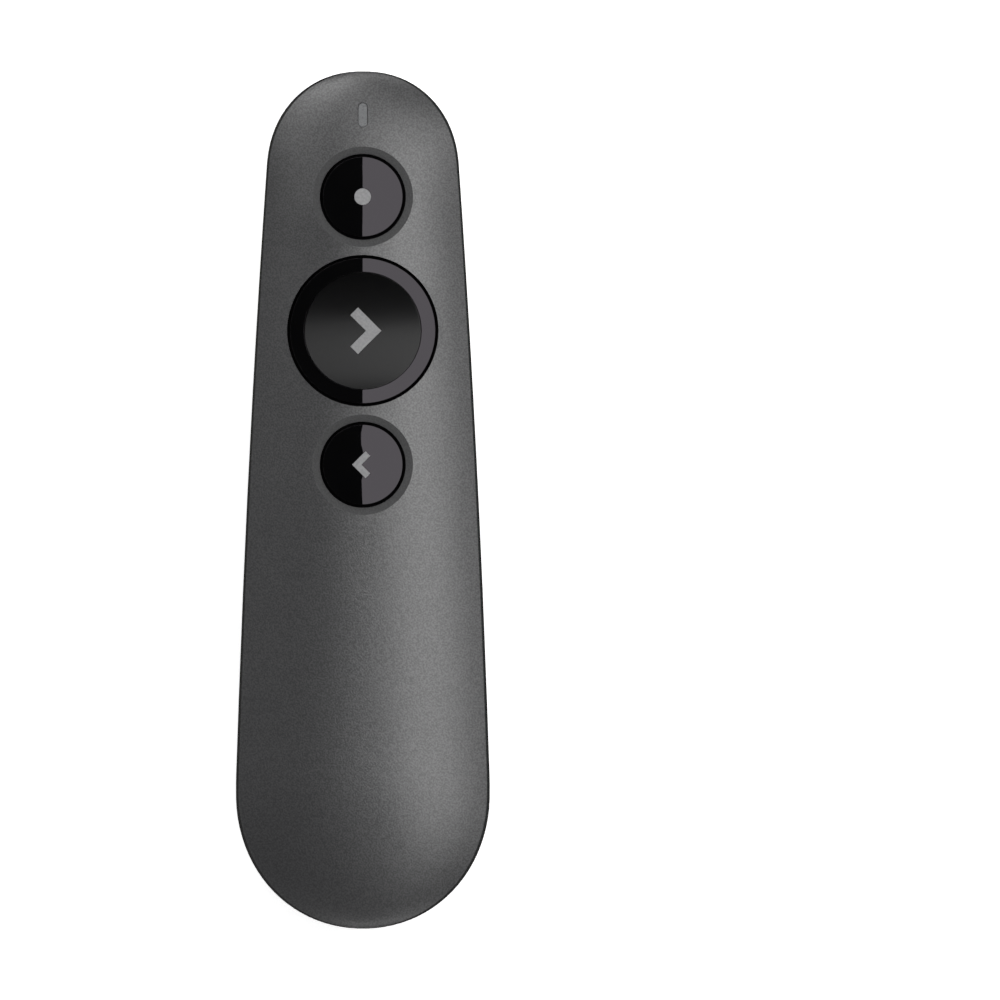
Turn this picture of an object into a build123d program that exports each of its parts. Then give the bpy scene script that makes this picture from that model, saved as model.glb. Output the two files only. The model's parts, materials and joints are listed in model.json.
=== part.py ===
from build123d import *
import os
from functools import lru_cache
from math import atan2, cos, degrees, dist, pi, sin

# Wireless presentation clicker, lying on its back.
# Millimetres. +Y towards the nose (laser end), +Z out of the button face, X across.
# Stations along the body are given as t, the distance behind the tip of the nose.

# ---------------------------------------------------------------- body form
LENGTH = 124.0             # nose tip to tail tip
BODY_DEPTH = 24.75         # resting land to the highest line of the button face
WALL = 1.6                 # wall of the three shells
CREASE_DROP = 3.05         # button face line down to its sharp edge
PARTING_DROP = 6.1         # button face line down to the seam of the front cover
BOWL_DROP = 4.35           # button face line down to where the back starts to curve

SHOULDER_T = 17.2          # where the nose has come to full width
SHOULDER_HALF = 14.14      # half width there
WIDEST_AHEAD = 20.0        # widest station, ahead of the tail tip
WIDEST_HALF = 18.39        # half width there
SIDE_BULGE = 0.41          # how far each side bows out between those two
NOSE_ROUND = 13.5          # length over which the plan of the nose rounds off
NOSE_POWER = 2.2
TAIL_ROUND = 20.5          # the same for the tail
TAIL_POWER = 2.05

CROWN_POWER = 2.2          # roundness of the button face across the body
FACE_NOSE_ROUND = 21.5     # length over which the button face drops to the nose
FACE_NOSE_POWER = 1.65
FACE_TAIL_ROUND = 21.1     # and to the tail
FACE_TAIL_POWER = 1.67

NECK_T = 20.2              # station of the neck, and the depth of the back there
NECK_DEPTH = 11.24         # from where the back starts to curve
HIP_AHEAD = 34.4           # hip, ahead of the tail tip
HIP_RISE = 0.26            # back of the hip above the resting land
BACK_BULGE = 0.2           # how far the back bows out between those two
BACK_NOSE_ROUND = 19.0     # length over which the back rises to the nose
BACK_NOSE_POWER = 1.78
BACK_TAIL_ROUND = 32.5     # and to the tail
BACK_TAIL_POWER = 1.67
BOWL_POWER = 2.5           # roundness of the back across the body
NOSE_SPREAD = 15.0         # sections are crowded towards the nose over this length
TAIL_SPREAD = 21.0         # and towards the tail over this one
END_SECTION_COUNT = 8           # sections over each of those lengths
MIDDLE_SECTION_COUNT = 18
END_SLIVER = 0.015         # last section ahead of a tip, where the form has no width
FACE_STEP_COUNT = 10           # steps of the face's line across a section
BACK_STEP_COUNT = 16           # steps of its back
EDGE_SHARE = 0.5           # how far an inner skin's edge drops, per unit of inset
BOWL_SHARE = 0.25          # and the top of its back

# ---------------------------------------------------------------- seams and cuts
SEAM_GAP = 0.3             # open groove between two shells
GROOVE_DEPTH = 0.6         # how deep the groove of the fixed seam goes
SPLIT_AHEAD = 54.4         # cover split at the seam, ahead of the tail tip
SPLIT_LEAN = 0.8           # how far the split leans to the nose from there to the back
CUT_LOW_AHEAD = 7.7        # slanted tail cut: lower end ahead of the tail tip
CUT_DEEP = 10.7            # lower end below the seam
CUT_HIGH_AHEAD = 2.4       # upper end, at the front cover's seam
SLIDE_FIT = 0.25           # sliding clearance each side
SEAT_FIT = 0.05            # clearance of a piece in its pocket
THROUGH = 1.0              # how far a cut runs on past what it cuts
ROOT = 0.2                 # how far a rib reaches into what it grows from

# ---------------------------------------------------------------- buttons
LASER_BUTTON_T = 18.2
NEXT_BUTTON_T = 37.55
BACK_BUTTON_T = 56.9
SMALL_BUTTON_R = 5.75
NEXT_BUTTON_R = 10.48
BUTTON_GAP = 0.47          # open ring around each button
SMALL_PROUD = 0.2          # how far the small buttons stand out of the face
SMALL_DISH_R = 7.25        # sloping ring of the cover around each small button
SMALL_DISH_DEPTH = 0.35
NEXT_DISH_R = 8.45         # thumb dish inside the glossy ring
NEXT_DISH_DROP = 1.15      # face line down to the middle of the dish
NEXT_DISH_STEP = 0.35      # step from the ring down to the dish
NEXT_DISH_CURVE = 45.0     # radius of its hollow along the body
BUTTON_TRAVEL = 0.4
FLANGE_OUT = 1.1           # how far a button's flange reaches under the cover
FLANGE_THICK = 0.8
FLANGE_FIT = 0.1           # play between flange and cover
CAP_WALL = 1.15
CAP_ROOF = 2.3             # face line, or the dish, down to the hollow of a cap
DISH_SEAT = 1.15           # dish's lowest point down to its underside
NUB_OUT = 0.2              # cap's nub beside its plunger
ICON_DEPTH = 0.3
ICON_PROUD = 0.03
DOT_R = 1.2
NEXT_CHEVRON = (2.7, 2.24, 4.07)     # tip, stroke along X, reach of the arms
BACK_CHEVRON = (1.53, 1.36, 2.38)
SMALL_COLLAR_DROP = 2.55   # face line down to the flange seat of a small button
NEXT_COLLAR_DROP = 3.45    # and of the large one
COLLAR_WALL = 1.4

# ---------------------------------------------------------------- board
BOARD_TOP_RISE = 0.1       # board's upper face above the seam
BOARD_THICK = 1.0
BOARD_HALF = 12.4
BOARD_INSET = 2.9          # board's edge inside the outer form
BOARD_FRONT_T = 5.0
BOARD_BACK_AHEAD = 23.0    # board's end ahead of the tail tip
FORK_HALF = 3.6            # slot in the board for the laser barrel
FORK_END_T = 14.6
SWITCH_SIDE = 5.2
SWITCH_HEIGHT = 1.0
PLUNGER_R = 1.25
PLUNGER_STAND = 0.4        # plunger above the switch body
PLUNGER_DEEP = 0.3         # plunger inside the switch body at rest
# chips as x, station, width, length, height
CONTROLLER = (-3.5, 70.0, 6.0, 6.0, 0.9)
RADIO = (4.5, 80.0, 4.0, 4.0, 0.8)
CRYSTAL = (-2.0, 80.0, 3.2, 2.5, 0.7)
ANTENNA = (7.0, 2.0, 1.0)            # width, length, height
ANTENNA_OFF = 6.5          # beside the centre line
ANTENNA_AHEAD = 6.0        # ahead of the board's end
CAPACITOR = (0.8, 1.6, 0.7)          # width, length, height
CAPACITOR_PLACES = ((4.5, 67.0), (6.5, 67.0), (8.5, 67.0), (4.5, 72.0), (8.5, 80.0),
                    (-6.0, 80.0), (1.0, 86.0))

# ---------------------------------------------------------------- light and laser
WINDOW_T = 6.36
WINDOW_WIDE = 1.3
WINDOW_LONG = 3.5
WINDOW_RECESS = 0.15
GUIDE_LIFT = 1.85          # underside of the guide's bar above the board
GUIDE_BAR = 0.8
LED_OFF = 4.9              # status light beside the centre line
LED_SIZE = 1.2
LED_HEIGHT = 0.8
LASER_RISE = 0.1           # laser's axis above the seam
LASER_HOLE_R = 1.1
LASER_WINDOW_R = 1.5
LASER_WINDOW_T = 2.2
LASER_WINDOW_THICK = 0.8
BARREL_R = 2.0
BARREL_T = 8.2
BARREL_LONG = 5.2
BARREL_BORE_R = 1.35
LENS_THICK = 1.2
DIODE_FLANGE_R = 1.9
DIODE_LONG = 1.6
DIODE_PIN_END = 0.8        # pins on the board behind the fork
DIODE_PIN_R = 0.2
DIODE_PIN_OFF = 0.9        # each pin beside the centre line
CRADLE_HALF = 3.0
CRADLE_T = 8.6             # laser cradle and clamp
CRADLE_LONG = 2.2

# ---------------------------------------------------------------- power
CELL_R = 5.25
CELL_LONG = 44.5
CELL_EDGE = 0.4            # rounding of its rims
NUB_R = 1.9
NUB_LONG = 0.8
CELL_OFF = 5.45            # each cell beside the centre line
CELL_UNDER_BOARD = 0.5
SPRING_LONG = 3.3
SPRING_WIRE_R = 0.3
SPRING_WIDE_R = 3.6
SPRING_NARROW_R = 2.2
SPRING_TURN_COUNT = 4
CONTACT_THICK = 0.3
CONTACT_HALF = 3.9
CONTACT_TAB = 1.0          # half width of a contact's tab to the board
TRAY_WALL = 1.2
TRAY_FIT = 0.3             # tray wall beside a cell
TRAY_DROP = 0.2            # tray's rim below the cells' axes
END_WALL_DROP = 2.0        # how far the tray's end walls reach below its sides
RAIL_OUT = 0.7             # outer edge of the tray's rail past the tray screws' axes
RAIL_RISE = 1.4            # rail above the cells' axes
RAIL_THICK = 0.8
RIB_GAP = 0.3              # cover rib above the tray's rail
RIB_THICK = 0.8
RIB_LAP = 0.8              # cover rib over the rail
RIB_LONG = 4.0
RIB_AHEAD = (49.0, 27.0)   # cover ribs, ahead of the tail tip
SADDLES = (12.4, 30.4)     # saddles of the cells, behind the bay's nose end
SADDLE_LONG = 2.0
SADDLE_RISE = 2.0          # saddles above the tray's rim
TAB_HALF = 9.0             # tab of the cover under the rear housing
TAB_REACH = 1.8
TAB_THICK = 0.8
TAB_ROOT = 1.0             # tab joins the cover's wall this far behind the split
TAB_ROOT_LONG = 2.0
GRIP_AHEAD = 46.2          # finger grip in each side of the cover, ahead of the tail tip
GRIP_DROP = 4.65           # grip's middle below the seam
GRIP_LONG = 11.9
GRIP_WIDE = 4.05
GRIP_DEPTH = 0.45

# ---------------------------------------------------------------- screws
CASE_SCREW_T = 26.0
CASE_SCREW_OFF = 7.6
CASE_SCREW_SEAT = 3.05     # their seat above the back of the neck
TRAY_SCREW_IN = 6.2        # tray screws inside the two ends of the bay
TRAY_SCREW_EDGE = 3.44     # their axes inside the body's side
SCREW_R = 0.8
SCREW_HEAD_R = 1.45
SCREW_HEAD = 0.8
SCREW_FIT = 0.05
SCREW_CROSS = 0.2          # half width of the cross recess
BOSS_R = 1.75
EAR_R = 1.5
EAR_THICK = 1.4
CASE_BOSS_WALL = 0.8
SCREW_END_GAP = 0.3        # screw's end below the sharp edge's level

# ---------------------------------------------------------------- receiver
RECEIVER_WIDE = 14.4
RECEIVER_THICK = 5.9
RECEIVER_DROP = 5.55       # underside of the stored receiver below the seam
RECEIVER_PROUD = 1.6       # how far its end stands out of the tail cut
HEAD_AHEAD = 8.7           # receiver's shoulder ahead of the tail tip
PLUG_LONG = 11.9
PLUG_WIDE = 12.0
PLUG_THICK = 4.5
PLUG_WALL = 0.3
PLUG_SUNK = 1.5            # plug shell inside the head
TONGUE_THICK = 1.9
TONGUE_BACK = 0.5          # tongue behind the plug's mouth
PAD_BACK = 1.2             # its contacts behind the mouth
CHIP_BOARD_THICK = 0.9     # receiver's own board
PAD_WIDE = 1.2
PAD_THICK = 0.12
RECEIVER_ROUND = 0.8
RECEIVER_BOW = 16.0        # its end bows out with the tail, at this radius
RECEIVER_TIP = 0.35        # and stays this far inside the tail tip
HEAD_POCKET = 4.5          # depth of the pocket in the head
LATCH_SIDE = 2.2           # square latch windows of the plug
LATCH_OFF = 3.0
LATCH_T = 5.2
PAD_XS = (-3.5, -1.0, 1.0, 3.5)
DOCK_WALL = 0.8
DOCK_BACK = 1.0            # wall between the battery bay and the dock
DOCK_GAP = 0.4             # that wall ahead of the plug's mouth
DOCK_RIB_OFF = 5.0         # ribs of the front cover on the dock
DOCK_RIB_WIDE = 1.0
DOCK_RIB_LONG = 8.0

# ---------------------------------------------------------------- rear label
LABEL_HALF = 10.0
LABEL_T0 = 18.4
LABEL_T1 = 40.8
LABEL_ROUND = 3.0
LABEL_THICK = 0.15
LABEL_SUNK = 0.05

Z_FACE = BODY_DEPTH
Z_CREASE = BODY_DEPTH - CREASE_DROP
Z_SEAM = BODY_DEPTH - PARTING_DROP
Z_BOWL = BODY_DEPTH - BOWL_DROP
HIP_DEPTH = Z_BOWL - HIP_RISE
Z_BOARD = Z_SEAM + BOARD_TOP_RISE
Z_BOARD_LOW = Z_BOARD - BOARD_THICK
LASER_Z = Z_SEAM + LASER_RISE
WIDEST_T = LENGTH - WIDEST_AHEAD
HIP_T = LENGTH - HIP_AHEAD
SPLIT_TOP_T = LENGTH - SPLIT_AHEAD
SPLIT_BACK_T = SPLIT_TOP_T - SPLIT_LEAN
CUT_LOW_T = LENGTH - CUT_LOW_AHEAD
CUT_HIGH_T = LENGTH - CUT_HIGH_AHEAD
Z_CUT_LOW = Z_SEAM - CUT_DEEP
CELL_Z = Z_BOARD_LOW - CELL_UNDER_BOARD - CELL_R
BIG = 3 * LENGTH


def y_at(t):
    """Row Y of a station t behind the nose."""
    return LENGTH / 2 - t


def end_round(reach, length, power):
    """Share of full size at `reach` from an end that rounds off over `length`."""
    if reach >= length:
        return 1.0
    u = 1 - max(reach, 0.0) / length
    return (1 - u**power) ** (1 / power)


def between(t, t0, v0, t1, v1, bulge):
    """Line from v0 at t0 to v1 at t1 that bows out by `bulge` half way."""
    run = (t - t0) / (t1 - t0)
    return v0 + (v1 - v0) * run + 4 * bulge * run * (1 - run)


def half_width(t, inset=0.0):
    side = between(t, SHOULDER_T, SHOULDER_HALF, WIDEST_T, WIDEST_HALF, SIDE_BULGE)
    nose = end_round(t - inset, NOSE_ROUND - inset, NOSE_POWER)
    tail = end_round(LENGTH - t - inset, TAIL_ROUND - inset, TAIL_POWER)
    return (side - inset) * nose * tail


def crown(t, inset=0.0):
    nose = end_round(t - inset, FACE_NOSE_ROUND - inset, FACE_NOSE_POWER)
    tail = end_round(LENGTH - t - inset, FACE_TAIL_ROUND - inset, FACE_TAIL_POWER)
    return (CREASE_DROP - EDGE_SHARE * inset) * nose * tail


def bowl_depth(t, inset=0.0):
    back = between(t, NECK_T, NECK_DEPTH, HIP_T, HIP_DEPTH, BACK_BULGE)
    nose = end_round(t - inset, BACK_NOSE_ROUND - inset, BACK_NOSE_POWER)
    tail = end_round(LENGTH - t - inset, BACK_TAIL_ROUND - inset, BACK_TAIL_POWER)
    return (back - (1 + BOWL_SHARE) * inset) * nose * tail


def face_line(t, inset):
    """Points of the crowned face across a section, as (x, z)."""
    half, high = half_width(t, inset), crown(t, inset)
    edge_z = Z_CREASE - EDGE_SHARE * inset
    steps = [-1 + 2 * i / FACE_STEP_COUNT for i in range(FACE_STEP_COUNT + 1)]
    return [(half * s, edge_z + high * (1 - abs(s) ** CROWN_POWER)) for s in steps]


def back_line(t, inset):
    """Points of the sides and back, from one sharp edge round to the other."""
    half, deep = half_width(t, inset), bowl_depth(t, inset)
    edge_z = Z_CREASE - EDGE_SHARE * inset
    bowl_z = Z_BOWL - BOWL_SHARE * inset
    line = [(half, edge_z)]
    for i in range(BACK_STEP_COUNT + 1):
        a = pi * i / BACK_STEP_COUNT
        x = half * abs(cos(a)) ** (2 / BOWL_POWER) * (1 if cos(a) > 0 else -1)
        line.append((x, bowl_z - deep * sin(a) ** (2 / BOWL_POWER)))
    return line + [(-half, edge_z)]


def shares(line):
    """Where each point of a line comes along its length, from 0 to 1."""
    steps = [dist(a, b) for a, b in zip(line, line[1:])]
    return [sum(steps[:i]) / sum(steps) for i in range(len(line))]


FACE_SHARES = shares(face_line(WIDEST_T, 0.0))
BACK_SHARES = shares(back_line(WIDEST_T, 0.0))


def body_section(t, inset):
    """Closed outline of the body at a station. All stations share one spacing of points."""
    plane = Plane(origin=(0, y_at(t), 0), x_dir=(1, 0, 0), z_dir=(0, -1, 0))
    face = Edge.make_spline([Vector(*point) for point in face_line(t, inset)], parameters=FACE_SHARES)
    back = Edge.make_spline([Vector(*point) for point in back_line(t, inset)], parameters=BACK_SHARES)
    return plane.from_local_coords(Wire([face, back]))


def stations(inset):
    """Stations of the sections, crowded towards the two ends."""
    near, far = NOSE_SPREAD, LENGTH - TAIL_SPREAD
    turns = [pi / 2 * i / END_SECTION_COUNT for i in range(END_SECTION_COUNT + 1)]
    nose = [inset + (near - inset) * (1 - cos(turn)) for turn in turns[:-1]]
    nose[0] += END_SLIVER
    middle = [near + (far - near) * i / (MIDDLE_SECTION_COUNT - 1) for i in range(MIDDLE_SECTION_COUNT)]
    tail = [far + (LENGTH - inset - far) * sin(turn) for turn in turns[1:]]
    tail[-1] -= END_SLIVER
    return nose + middle + tail


@lru_cache(maxsize=None)
def body_form(inset=0.0):
    """The whole body as one solid, its skin moved in by `inset`."""
    return Solid.make_loft([body_section(t, inset) for t in stations(inset)])


def block(x0, x1, t0, t1, z0, z1):
    """Box from its X, station and Z limits."""
    size = (x1 - x0, t1 - t0, z1 - z0)
    centre = ((x0 + x1) / 2, y_at((t0 + t1) / 2), (z0 + z1) / 2)
    return Pos(*centre) * Box(*size)


def post(x, t, z0, z1, radius):
    """Upright round post."""
    return Pos(x, y_at(t), (z0 + z1) / 2) * Cylinder(radius, z1 - z0)


def rod(x, z, t0, t1, radius):
    """Round rod along the body."""
    return Pos(x, y_at((t0 + t1) / 2), z) * Rot(90, 0, 0) * Cylinder(radius, t1 - t0)


def side_prism(points, half=BIG):
    """Prism across the body from an outline of (t, z) points."""
    outline = [(y_at(t), z) for t, z in points]
    face = Plane.YZ * make_face(Polyline(*outline, close=True))
    return extrude(face, amount=half, both=True)


def behind_cut(setback=0.0):
    """Everything behind the slanted tail cut, moved `setback` towards the nose."""
    slope = (CUT_HIGH_T - CUT_LOW_T) / (Z_SEAM - Z_CUT_LOW)
    shift = setback / cos(atan2(CUT_HIGH_T - CUT_LOW_T, Z_SEAM - Z_CUT_LOW))
    low = CUT_LOW_T - slope * Z_CUT_LOW - shift
    high = low + slope * 2 * BODY_DEPTH
    return side_prism([(low, 0), (BIG, 0), (BIG, 2 * BODY_DEPTH), (high, 2 * BODY_DEPTH)])


def behind_split(offset):
    """Everything behind the cover split, moved back by `offset`."""
    slope = (SPLIT_TOP_T - SPLIT_BACK_T) / Z_SEAM
    low = SPLIT_BACK_T + offset - slope * BODY_DEPTH
    high = SPLIT_BACK_T + offset + slope * 2 * BODY_DEPTH
    return side_prism([(low, -BODY_DEPTH), (BIG, -BODY_DEPTH), (BIG, 2 * BODY_DEPTH), (high, 2 * BODY_DEPTH)])


def slab(z0, z1):
    """Everything between two heights."""
    return Pos(0, 0, (z0 + z1) / 2) * Box(BIG, BIG, z1 - z0)


def joined(shapes):
    """Several shapes as one."""
    first, *rest = shapes
    return first + rest


def lifted(shape, rise):
    """The shape moved up."""
    return shape.moved(Location((0, 0, rise)))


OUTER = body_form() & slab(0, 2 * BODY_DEPTH)
INNER = body_form(WALL) - behind_cut(WALL)
SHELL = OUTER - INNER

# name, station, cap radius, collar drop, how far the cap stands out of the face
BUTTONS = (
    ("laser", LASER_BUTTON_T, SMALL_BUTTON_R, SMALL_COLLAR_DROP, SMALL_PROUD),
    ("next", NEXT_BUTTON_T, NEXT_BUTTON_R, NEXT_COLLAR_DROP, 0.0),
    ("back", BACK_BUTTON_T, SMALL_BUTTON_R, SMALL_COLLAR_DROP, SMALL_PROUD),
)
Z_DISH_LOW = Z_FACE - NEXT_DISH_DROP
Z_RIM = Z_FACE - SMALL_COLLAR_DROP / 2
HEAD_T = LENGTH - HEAD_AHEAD
PLUG_T = HEAD_T - PLUG_LONG
BAY_END_T = PLUG_T - DOCK_GAP - DOCK_BACK
BAY_T = BAY_END_T - CELL_LONG - SPRING_LONG - 2 * CONTACT_THICK
Z_SWITCH = Z_BOARD + SWITCH_HEIGHT
Z_PLUNGER = Z_SWITCH + PLUNGER_STAND
TRAY_IN = CELL_OFF + CELL_R + TRAY_FIT
TRAY_OUT = TRAY_IN + TRAY_WALL
Z_TRAY = CELL_Z - TRAY_DROP
Z_RAIL = CELL_Z + RAIL_RISE
Z_RIB = Z_RAIL + RAIL_THICK + RIB_GAP
Z_RECEIVER_LOW = Z_SEAM - RECEIVER_DROP
Z_RECEIVER = Z_RECEIVER_LOW + RECEIVER_THICK / 2
DOCK_HALF = RECEIVER_WIDE / 2 + SLIDE_FIT
Z_TONGUE = Z_RECEIVER + PLUG_THICK / 2 - PLUG_WALL - TONGUE_THICK
Z_DOCK_LOW = Z_RECEIVER_LOW - SLIDE_FIT
Z_DOCK_HIGH = Z_RECEIVER_LOW + RECEIVER_THICK + SLIDE_FIT
BARREL_END_T = BARREL_T + BARREL_LONG
TRAY_SCREW_OFF = half_width(BAY_T + TRAY_SCREW_IN) - TRAY_SCREW_EDGE
TRAY_SCREWS = [(side * TRAY_SCREW_OFF, t) for side in (-1, 1)
               for t in (BAY_T + TRAY_SCREW_IN, BAY_END_T - TRAY_SCREW_IN)]
CASE_SCREWS = [(side * CASE_SCREW_OFF, CASE_SCREW_T) for side in (-1, 1)]
Z_CASE_SCREW = Z_BOWL - NECK_DEPTH + CASE_SCREW_SEAT
Z_SCREW_END = Z_CREASE - SCREW_END_GAP
Z_EAR = Z_BOARD_LOW - EAR_THICK


def save(name, shape):
    export_step(shape, f"parts/{name}.step")


def group(shapes):
    return Compound(children=list(shapes))


# ---------------------------------------------------------------- shells

def laser_way():
    """Hole of the laser in the nose, the pocket of its window and the seat of its barrel."""
    hole = rod(0, LASER_Z, -THROUGH, BARREL_T, LASER_HOLE_R)
    pocket = rod(0, LASER_Z, LASER_WINDOW_T, BARREL_T, LASER_WINDOW_R + SEAT_FIT)
    return [hole, pocket, rod(0, LASER_Z, BARREL_T, BARREL_END_T, BARREL_R + SEAT_FIT)]


def receiver_way():
    """Slot that the receiver slides through at the tail."""
    half = DOCK_HALF
    return block(-half, half, HEAD_T, LENGTH + THROUGH, Z_DOCK_LOW, Z_DOCK_HIGH)


def laser_block(z0, z1):
    """Half of the block that holds the laser barrel."""
    return block(-CRADLE_HALF, CRADLE_HALF, CRADLE_T, CRADLE_T + CRADLE_LONG, z0, z1)


def screw_holes(places, z0, z1):
    return [post(x, t, z0, z1, SCREW_R + SCREW_FIT) for x, t in places]


def window_prism(grow, z0):
    """Upright prism of the light guide's window, with round ends, up through the face."""
    pill = Rot(0, 0, 90) * SlotOverall(WINDOW_LONG + 2 * grow, WINDOW_WIDE + 2 * grow)
    return Pos(0, y_at(WINDOW_T), z0) * extrude(pill, amount=Z_FACE - z0)


def sloped_rim(cover, t, hole):
    """The cover with the upper rim of a button's hole cut back to a sloping ring."""
    def on_rim(edge):
        points = [edge @ share for share in (0.0, 0.3, 0.6)]
        return all(abs(dist((p.X, p.Y), (0, y_at(t))) - hole) < SEAT_FIT and p.Z > Z_RIM for p in points)
    rim = cover.edges().filter_by(on_rim)
    face = next(f for f in cover.faces() if f.normal_at(f.center()).Z > 0.5 and rim[0] in f.edges())
    return chamfer(rim, SMALL_DISH_R - hole, SMALL_DISH_DEPTH, reference=face)


def front_cover():
    cover = SHELL & slab(Z_SEAM, 2 * BODY_DEPTH)
    supports = [post(0, t, Z_FACE - drop, Z_FACE, radius + BUTTON_GAP + COLLAR_WALL)
                for name, t, radius, drop, proud in BUTTONS]
    supports += [post(x, t, Z_BOARD, Z_FACE, BOSS_R) for x, t in CASE_SCREWS]
    supports += [post(x, t, Z_BOARD_LOW, Z_FACE, BOSS_R) for x, t in TRAY_SCREWS]
    supports.append(laser_block(LASER_Z + BARREL_R / 2, Z_FACE))
    for x in (-DOCK_RIB_OFF, DOCK_RIB_OFF):
        edges = (x - DOCK_RIB_WIDE / 2, x + DOCK_RIB_WIDE / 2)
        supports.append(block(*edges, HEAD_T - DOCK_RIB_LONG, HEAD_T, Z_DOCK_HIGH + DOCK_WALL, Z_FACE))
    cover += joined(supports) & body_form(WALL / 2)
    cover -= [post(0, t, Z_SEAM, Z_FACE + THROUGH, radius + BUTTON_GAP)
              for name, t, radius, drop, proud in BUTTONS]
    for name, t, radius, drop, proud in BUTTONS:
        if proud:
            cover = sloped_rim(cover, t, radius + BUTTON_GAP)
    holes = screw_holes(CASE_SCREWS + TRAY_SCREWS, Z_BOARD_LOW - THROUGH, Z_CREASE)
    window = window_prism(SEAT_FIT, Z_CREASE - THROUGH)
    return cover - (holes + laser_way() + [window, receiver_way()])


def label_field(grow=0.0):
    """Rounded field of the rear label, through the back skin."""
    long = LABEL_T1 - LABEL_T0 + 2 * grow
    field = RectangleRounded(2 * (LABEL_HALF + grow), long, LABEL_ROUND + grow)
    return Pos(0, y_at((LABEL_T0 + LABEL_T1) / 2), 0) * extrude(field, amount=Z_SEAM)


def rear_housing():
    lower = (SHELL & slab(0, Z_SEAM)) - behind_split(-SEAM_GAP / 2)
    housing = lower - ((OUTER & slab(Z_SEAM - SEAM_GAP, Z_SEAM)) - body_form(GROOVE_DEPTH))
    bosses = [post(x, t, 0, Z_BOARD_LOW, SCREW_HEAD_R + CASE_BOSS_WALL) for x, t in CASE_SCREWS]
    cradle = laser_block(0, min(Z_SEAM, LASER_Z - BARREL_R / 3))
    housing += joined(bosses + [cradle]) & body_form(WALL / 2)
    housing -= label_field(SEAT_FIT) - body_form(LABEL_THICK + LABEL_SUNK)
    wells = [post(x, t, 0, Z_CASE_SCREW, SCREW_HEAD_R + SLIDE_FIT) for x, t in CASE_SCREWS]
    return housing - (wells + screw_holes(CASE_SCREWS, 0, Z_SEAM) + laser_way())


def rear_label():
    return (label_field() & body_form(LABEL_SUNK)) - body_form(LABEL_THICK + LABEL_SUNK)


def grip_field(side):
    """Pill that cuts a shallow grip into one side of the cover."""
    pill = SlotOverall(GRIP_LONG, GRIP_WIDE)
    centre = (0, y_at(LENGTH - GRIP_AHEAD), Z_SEAM - GRIP_DROP)
    plane = Plane(origin=centre, x_dir=(0, 1, 0), z_dir=(side, 0, 0))
    return extrude(plane * pill, amount=WIDEST_HALF + THROUGH)


def battery_cover():
    lower = SHELL & slab(0, Z_SEAM - SEAM_GAP) & behind_split(SEAM_GAP / 2)
    cover = lower - [behind_cut(), receiver_way()]
    cover -= joined([grip_field(-1), grip_field(1)]) - body_form(GRIP_DEPTH)
    ribs = []
    for side in (-1, 1):
        for ahead in RIB_AHEAD:
            edges = sorted((side * (TRAY_SCREW_OFF + RAIL_OUT - RIB_LAP), side * WIDEST_HALF))
            middle = LENGTH - ahead
            ribs.append(block(*edges, middle - RIB_LONG / 2, middle + RIB_LONG / 2, Z_RIB, Z_RIB + RIB_THICK))
    root_t = SPLIT_TOP_T + TAB_ROOT
    tab = block(-TAB_HALF, TAB_HALF, SPLIT_BACK_T - TAB_REACH, root_t + TAB_ROOT_LONG, 0, BODY_DEPTH / 2)
    root = block(-TAB_HALF, TAB_HALF, root_t, root_t + TAB_ROOT_LONG, 0, BODY_DEPTH / 2)
    inner = body_form(WALL + SLIDE_FIT + TAB_THICK)
    tab = (tab & body_form(WALL + SLIDE_FIT)) - inner
    root = (root & body_form(WALL / 2)) - inner
    return cover + (joined(ribs) & body_form(WALL / 2)) + tab + root


# ---------------------------------------------------------------- tray and dock

def inner_chassis():
    back = BAY_END_T + DOCK_BACK
    front = BAY_T - TRAY_WALL
    tray = block(-TRAY_OUT, TRAY_OUT, front, back, Z_TRAY, Z_BOARD_LOW)
    tray -= block(-TRAY_IN, TRAY_IN, BAY_T, BAY_END_T, 0, BODY_DEPTH)
    for t0, t1 in ((front, BAY_T), (BAY_END_T, back)):
        tray += block(-TRAY_IN, TRAY_IN, t0, t1, Z_TRAY - END_WALL_DROP, Z_BOARD_LOW)
    for behind in SADDLES:
        t = BAY_T + behind
        tray += block(-TRAY_IN, TRAY_IN, t, t + SADDLE_LONG, Z_TRAY + SADDLE_RISE, Z_BOARD_LOW)
    tray -= [rod(side * CELL_OFF, CELL_Z, BAY_T, BAY_END_T, CELL_R + SEAT_FIT) for side in (-1, 1)]
    inner = TRAY_OUT - ROOT
    for side in (-1, 1):
        edges = sorted((side * inner, side * (TRAY_SCREW_OFF + RAIL_OUT)))
        tray += block(*edges, SPLIT_TOP_T + TAB_ROOT, BAY_END_T, Z_RAIL, Z_RAIL + RAIL_THICK)
    for x, t in TRAY_SCREWS:
        edges = sorted((inner if x > 0 else -inner, x))
        tray += post(x, t, Z_EAR, Z_BOARD_LOW, EAR_R)
        tray += block(*edges, t - EAR_R, t + EAR_R, Z_EAR, Z_BOARD_LOW)
    heads = [post(x, t, Z_EAR - SCREW_HEAD - THROUGH, Z_EAR, SCREW_HEAD_R + SEAT_FIT) for x, t in TRAY_SCREWS]
    return tray - (heads + screw_holes(TRAY_SCREWS, Z_EAR, Z_BOARD))


def receiver_dock():
    half = DOCK_HALF + DOCK_WALL
    start = BAY_END_T + DOCK_BACK
    dock = block(-half, half, start, LENGTH, Z_DOCK_LOW - DOCK_WALL, Z_DOCK_HIGH + DOCK_WALL)
    dock -= block(-DOCK_HALF, DOCK_HALF, start - THROUGH, LENGTH + THROUGH, Z_DOCK_LOW, Z_DOCK_HIGH)
    clear = body_form(WALL + SLIDE_FIT) - behind_cut(WALL + SLIDE_FIT)
    return dock & clear


# ---------------------------------------------------------------- board

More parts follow.
